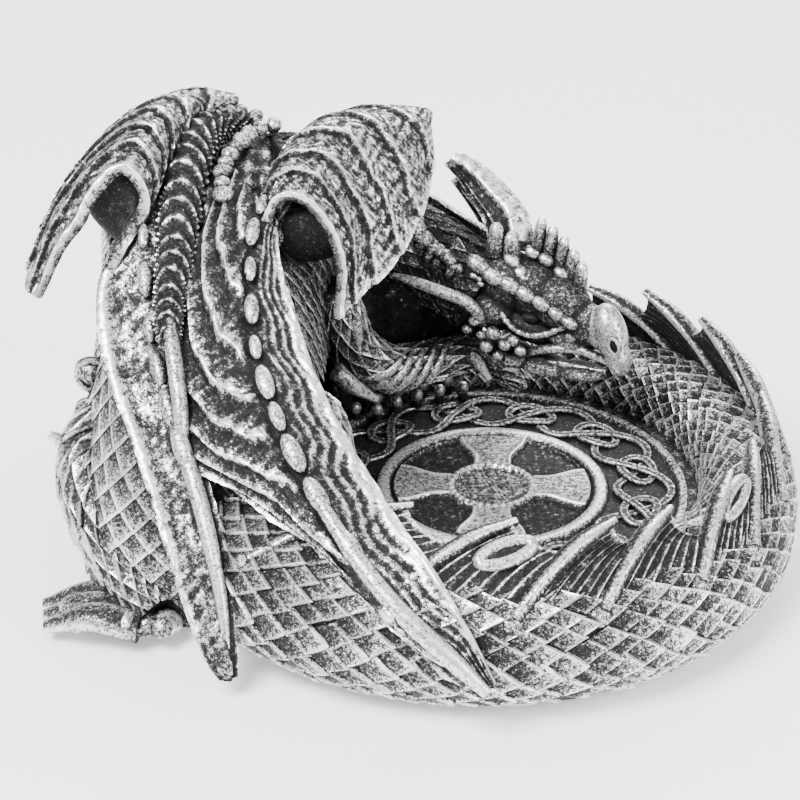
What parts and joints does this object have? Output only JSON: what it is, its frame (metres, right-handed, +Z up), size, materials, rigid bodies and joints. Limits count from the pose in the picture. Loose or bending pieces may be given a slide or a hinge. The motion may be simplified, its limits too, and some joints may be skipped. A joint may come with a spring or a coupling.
{
  "type": "dragon dice tower with tray",
  "caption": "Dice tower sculpted as a dragon: a hollow torso with folded wings, and a tail curled round a round dice tray with a relief floor.",
  "frame": {"origin": "centre of the dice tray on the table plane", "axes": "+Z up; +X from the torso across the tray, which is the longest way; -Y towards the tips of the folded wings"},
  "size_m": [0.2052, 0.1809, 0.1161],
  "materials": {
    "antique_silver": "satin",
    "inner_resin": "matte",
    "pin_steel": "satin",
    "black_felt": "matte"
  },
  "bodies": {
    "root": {"felt_pad": "black_felt", "base_plate": "antique_silver", "floor_disc": "antique_silver", "torso": "antique_silver", "hopper_collar": "antique_silver", "upper_baffle": "inner_resin", "lower_baffle": "inner_resin", "exit_ramp": "inner_resin", "tail_root": "antique_silver", "tail_front": "antique_silver", "tail_side": "antique_silver", "tail_back": "antique_silver", "tail_end": "antique_silver", "tail_fin_front": "antique_silver", "tail_fin_side": "antique_silver", "tail_fin_back": "antique_silver", "right_wing": "antique_silver", "left_wing": "antique_silver", "right_wing_hood": "antique_silver", "left_wing_hood": "antique_silver", "wing_pin_left": "pin_steel", "wing_pin_right": "pin_steel", "neck_pin": "pin_steel", "neck": "antique_silver", "shoulder_yoke": "antique_silver", "spine_beads": "antique_silver", "skull": "antique_silver", "lower_jaw": "antique_silver", "beak": "antique_silver", "right_horn": "antique_silver", "left_horn": "antique_silver", "neck_crest": "antique_silver", "cheek_horns": "antique_silver", "crown_spikes": "antique_silver", "right_foreleg": "antique_silver", "left_foreleg": "antique_silver", "left_hind_leg": "antique_silver", "right_hind_leg": "antique_silver", "foreleg_claws": "antique_silver", "hind_claws": "antique_silver", "left_hind_foot": "antique_silver", "flank_fin": "antique_silver"}
  },
  "joints": []
}
